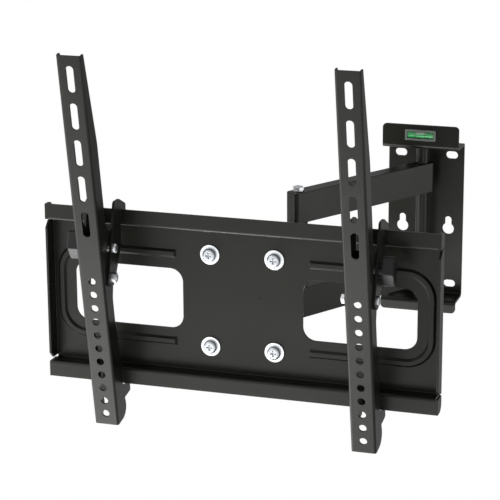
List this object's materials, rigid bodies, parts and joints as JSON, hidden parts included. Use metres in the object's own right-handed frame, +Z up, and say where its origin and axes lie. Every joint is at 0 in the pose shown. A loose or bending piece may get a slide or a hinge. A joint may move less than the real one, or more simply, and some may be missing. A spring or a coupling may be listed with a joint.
{
  "type": "full motion tv wall mount",
  "caption": "Black steel wall mount for a flat screen: folding swivel arms from a wall plate carry a pressed screen plate with sliding, tilting rails.",
  "frame": {"origin": "centre of the wall plate's back face, on the wall", "axes": "+X right seen from the front, +Y into the wall, +Z up"},
  "size_m": [0.4482, 0.5322, 0.4321],
  "materials": {
    "black_coat": "satin black powder coat",
    "zinc_steel": "bright zinc plate",
    "nylon": "black nylon",
    "black_plastic": "moulded black plastic",
    "level_plastic": "grey moulded plastic",
    "level_vial": "green spirit vial"
  },
  "bodies": {
    "wall_bracket": {"wall_plate": "black_coat", "post_rod": "black_coat", "post_spacer_top": "black_coat", "post_spacer_middle": "black_coat", "post_spacer_bottom": "black_coat", "level_frame": "level_plastic", "level_vial": "level_vial"},
    "wall_arm": {"wall_arm_upper": "black_coat", "wall_arm_lower": "black_coat", "post_bushes": "nylon", "wall_arm_bushes": "nylon", "knuckle_bolt": "zinc_steel", "knuckle_nut": "zinc_steel", "knuckle_washers": "zinc_steel"},
    "front_arm": {"front_arm_upper": "black_coat", "front_arm_lower": "black_coat", "front_arm_bushes": "nylon", "front_arm_washers": "nylon"},
    "head": {"head_clevis": "black_coat", "head_plate": "black_coat", "head_bolt": "zinc_steel", "head_nut": "zinc_steel", "head_washers": "zinc_steel", "tv_plate": "black_coat", "plate_bolts": "zinc_steel", "plate_washers": "zinc_steel", "plate_nuts": "zinc_steel"},
    "left_carriage": {"tilt_bracket_left": "black_coat", "lock_bolt_left": "zinc_steel", "pivot_bolt_left": "zinc_steel", "pivot_nut_left": "zinc_steel"},
    "left_rail": {"rail_left": "black_coat"},
    "left_knob": {"knob_left": "black_plastic"},
    "right_carriage": {"tilt_bracket_right": "black_coat", "lock_bolt_right": "zinc_steel", "pivot_bolt_right": "zinc_steel", "pivot_nut_right": "zinc_steel"},
    "right_rail": {"rail_right": "black_coat"},
    "right_knob": {"knob_right": "black_plastic"}
  },
  "joints": [
    {"name": "wall_swivel", "type": "hinge", "parent": "wall_bracket", "child": "wall_arm", "pos_m": [0, -0.0258, 0], "axis": [0, 0, 1], "range_deg": [-45, 105]},
    {"name": "elbow_swivel", "type": "hinge", "parent": "wall_arm", "child": "front_arm", "pos_m": [-0.10728, -0.20865, 0], "axis": [0, 0, 1], "range_deg": [-105, 50]},
    {"name": "head_swivel", "type": "hinge", "parent": "front_arm", "child": "head", "pos_m": [-0.11008, -0.36893, 0], "axis": [0, 0, 1], "range_deg": [-45, 45]},
    {"name": "left_slide", "type": "slide", "parent": "head", "child": "left_carriage", "axis": [1, 0, 0], "range_m": [-0.054, 0.098]},
    {"name": "left_tilt", "type": "hinge", "parent": "left_carriage", "child": "left_rail", "pos_m": [-0.25828, -0.46623, 0.033], "axis": [-1, 0, 0], "range_deg": [0, 15]},
    {"name": "left_knob_turn", "type": "hinge", "parent": "left_carriage", "child": "left_knob", "pos_m": [-0.25828, -0.46146, 0.0649], "axis": [1, 0, 0], "continuous": true},
    {"name": "right_slide", "type": "slide", "parent": "head", "child": "right_carriage", "axis": [1, 0, 0], "range_m": [-0.098, 0.054]},
    {"name": "right_tilt", "type": "hinge", "parent": "right_carriage", "child": "right_rail", "pos_m": [0.03812, -0.46623, 0.033], "axis": [-1, 0, 0], "range_deg": [0, 15]},
    {"name": "right_knob_turn", "type": "hinge", "parent": "right_carriage", "child": "right_knob", "pos_m": [0.03812, -0.46146, 0.0649], "axis": [1, 0, 0], "continuous": true}
  ]
}
